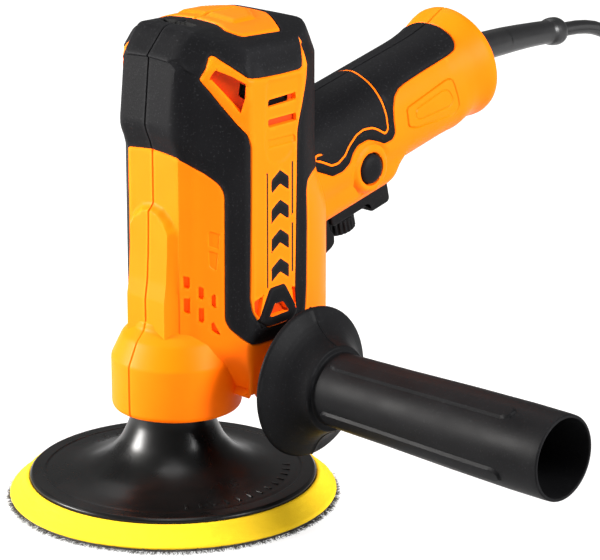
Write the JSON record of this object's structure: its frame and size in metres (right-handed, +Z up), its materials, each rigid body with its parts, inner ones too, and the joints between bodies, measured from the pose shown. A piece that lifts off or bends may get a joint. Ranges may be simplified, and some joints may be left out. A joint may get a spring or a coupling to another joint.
{
  "type": "dual action polisher",
  "caption": "Corded polisher with an upright motor housing, tilted rear handle, screw-in side handle and a foam pad that spins while its axis orbits.",
  "frame": {"origin": "on the main spindle's axis, at the pad's working face", "axes": "+X towards the rear handle, +Y to the tool's right, away from the side handle, +Z up along the spindle"},
  "size_m": [0.378, 0.2305, 0.1825],
  "materials": {
    "orange_plastic": "fine-grained moulded orange plastic, satin",
    "black_rubber": "soft black overmould with a fine grain",
    "black_plastic": "moulded black plastic, satin with a fine grain",
    "plate_plastic": "glossy black moulded plastic",
    "foam": "yellow closed-cell foam, matt and slightly pitted",
    "hook_fabric": "black woven tape with standing hooks",
    "cord_rubber": "smooth black cord sheath",
    "cast_aluminium": "cast, lightly blasted",
    "steel": "turned and ground",
    "brass": "drawn brass, lightly worn",
    "copper": "enamelled copper wire and bare copper",
    "carbon": "pressed carbon",
    "circuit_board": "green lacquered board"
  },
  "bodies": {
    "housing": {"housing_left": "orange_plastic", "housing_right": "orange_plastic", "cover_left": "black_rubber", "cover_right": "black_rubber", "top_insert": "orange_plastic", "panel_left": "orange_plastic", "panel_right": "orange_plastic", "handle_cover_left": "black_rubber", "handle_cover_right": "black_rubber", "trigger_bezel": "black_plastic", "case_screws": "steel", "gear_case": "cast_aluminium", "gear_cover": "cast_aluminium", "gear_case_screws": "steel", "spindle_bearing_lower": "steel", "spindle_bearing_upper": "steel", "motor_bearing_lower": "steel", "motor_bearing_upper": "steel", "motor_stator": "steel", "field_coils": "copper", "air_baffle": "black_plastic", "brush_holders": "brass", "carbon_brushes": "carbon", "motor_end_bracket": "black_plastic", "switch_body": "black_plastic", "trigger_spring": "steel", "speed_board": "circuit_board", "noise_capacitor": "black_plastic", "lock_spring": "steel", "cord_clamp": "black_plastic", "clamp_screws": "steel", "strain_relief": "black_rubber", "inner_lead": "cord_rubber", "cord_lead": "cord_rubber", "cord_coil": "cord_rubber", "cord_tail": "cord_rubber", "cord_tie": "cord_rubber", "plug_body": "black_plastic", "plug_pins": "brass", "side_grip": "black_plastic", "grip_stud": "steel"},
    "spindle": {"spindle": "steel", "counterweight": "steel", "drive_gear": "steel", "orbit_bearing": "steel"},
    "pad": {"pad_spindle": "steel", "pad_insert": "brass", "backing_plate": "plate_plastic", "pad_foam": "foam", "hook_layer": "hook_fabric"},
    "rotor": {"motor_shaft": "steel", "pinion": "steel", "cooling_fan": "black_plastic", "armature_core": "steel", "armature_windings": "copper", "commutator": "copper"},
    "trigger": {"trigger": "black_plastic"},
    "speed_dial": {"speed_dial": "black_plastic"},
    "lock_button": {"lock_button": "black_plastic"}
  },
  "joints": [
    {"name": "spindle_spin", "type": "hinge", "parent": "housing", "child": "spindle", "pos_m": [0, 0, 0.05], "axis": [0, 0, 1], "continuous": true},
    {"name": "pad_spin", "type": "hinge", "parent": "spindle", "child": "pad", "pos_m": [0, 0.0025, 0.04], "axis": [0, 0, 1], "continuous": true},
    {"name": "motor_spin", "type": "hinge", "parent": "housing", "child": "rotor", "pos_m": [0.02, 0, 0.1], "axis": [0, 0, 1], "continuous": true},
    {"name": "trigger_pull", "type": "slide", "parent": "housing", "child": "trigger", "axis": [-0.2317, 0, 0.9728], "range_m": [0, 0.006], "stiffness_N_per_m": 900, "springref_m": -0.003, "deforming": ["trigger_spring"]},
    {"name": "speed_dial_turn", "type": "hinge", "parent": "trigger", "child": "speed_dial", "pos_m": [0.08619, 0, 0.09767], "axis": [-0.2317, 0, 0.9728], "range_deg": [0, 280]},
    {"name": "lock_button_press", "type": "slide", "parent": "housing", "child": "lock_button", "axis": [0, 1, 0], "range_m": [0, 0.003], "stiffness_N_per_m": 500, "springref_m": -0.001, "deforming": ["lock_spring"]}
  ],
  "couplings": [
    {"joint": "motor_spin", "follows": "spindle_spin", "ratio": -4}
  ]
}
